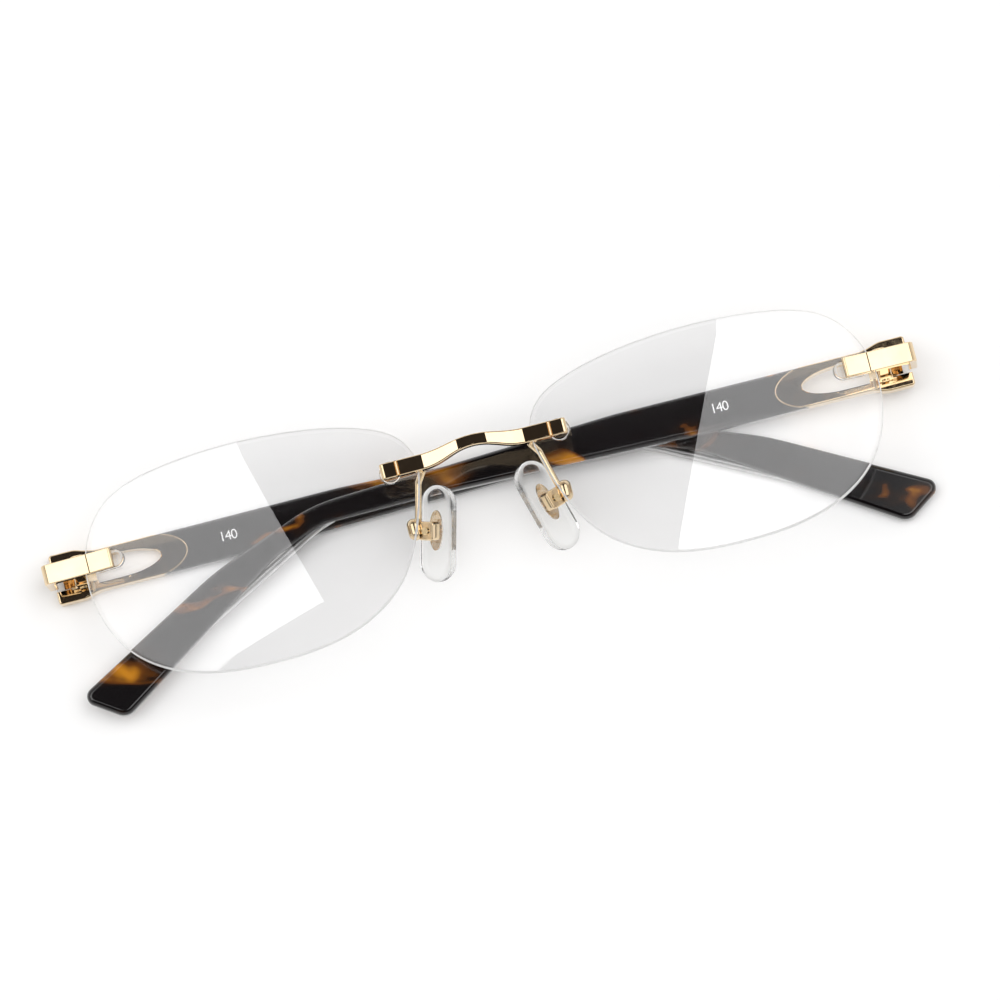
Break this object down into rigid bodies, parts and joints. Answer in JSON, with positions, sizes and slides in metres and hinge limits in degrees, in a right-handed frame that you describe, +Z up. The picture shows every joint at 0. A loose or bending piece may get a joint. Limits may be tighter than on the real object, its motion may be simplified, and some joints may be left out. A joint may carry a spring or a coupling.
{
  "type": "rimless eyeglasses",
  "caption": "Folded rimless eyeglasses with clear oval lenses, a gold metal bridge and endpieces, adjustable nose pads and flat tortoise acetate temples.",
  "frame": {"origin": "middle of the folded outline, on the face it rests on", "axes": "+Z up from the surface the folded temples rest on, out of the front of the lenses; +Y towards the wearer's brow; +X towards the wearer's left"},
  "size_m": [0.1388, 0.0358, 0.0191],
  "materials": {
    "gold": "polished gold plating",
    "clear_lens": "polished, with a weak coating reflection",
    "clear_plastic": "clear",
    "pad_silicone": "clear soft plastic",
    "tortoise_acetate": "polished dark tortoise acetate",
    "core_wire": "plain wire",
    "screw_steel": "gold-plated screw"
  },
  "bodies": {
    "temple_right": {"temple_head_right": "gold", "temple_arm_right": "tortoise_acetate", "temple_core_right": "core_wire", "hinge_knuckle_right": "gold"},
    "front": {"bridge": "gold", "lens_left": "clear_lens", "lens_right": "clear_lens", "bridge_bushing_left": "clear_plastic", "bridge_bushing_right": "clear_plastic", "endpiece_bushing_left": "clear_plastic", "endpiece_bushing_right": "clear_plastic", "endpiece_left": "gold", "endpiece_right": "gold", "hinge_leaves_left": "gold", "hinge_leaves_right": "gold", "hinge_screw_left": "screw_steel", "hinge_screw_right": "screw_steel", "pad_arm_left": "gold", "pad_arm_right": "gold", "pad_box_left": "gold", "pad_box_right": "gold", "pad_screw_left": "screw_steel", "pad_screw_right": "screw_steel"},
    "temple_left": {"temple_head_left": "gold", "temple_arm_left": "tortoise_acetate", "temple_core_left": "core_wire", "hinge_knuckle_left": "gold"},
    "pad_left": {"nose_pad_left": "pad_silicone", "pad_plate_left": "gold"},
    "pad_right": {"nose_pad_right": "pad_silicone", "pad_plate_right": "gold"}
  },
  "joints": [
    {"name": "right_hinge", "type": "hinge", "parent": "temple_right", "child": "front", "pos_m": [-0.064, 0.00547, 0.0047], "axis": [0, -1, 0], "range_deg": [0, 90]},
    {"name": "left_hinge", "type": "hinge", "parent": "front", "child": "temple_left", "pos_m": [0.06416, 0.00547, 0.008], "axis": [0, -1, 0], "range_deg": [0, 93]},
    {"name": "left_pad_rock", "type": "hinge", "parent": "front", "child": "pad_left", "pos_m": [0.00965, -0.00256, 0.01223], "axis": [0.5523, 0, 0.8336], "range_deg": [-8, 8]},
    {"name": "right_pad_rock", "type": "hinge", "parent": "front", "child": "pad_right", "pos_m": [-0.00978, -0.00256, 0.01173], "axis": [-0.5945, 0, 0.8041], "range_deg": [-8, 8]}
  ]
}
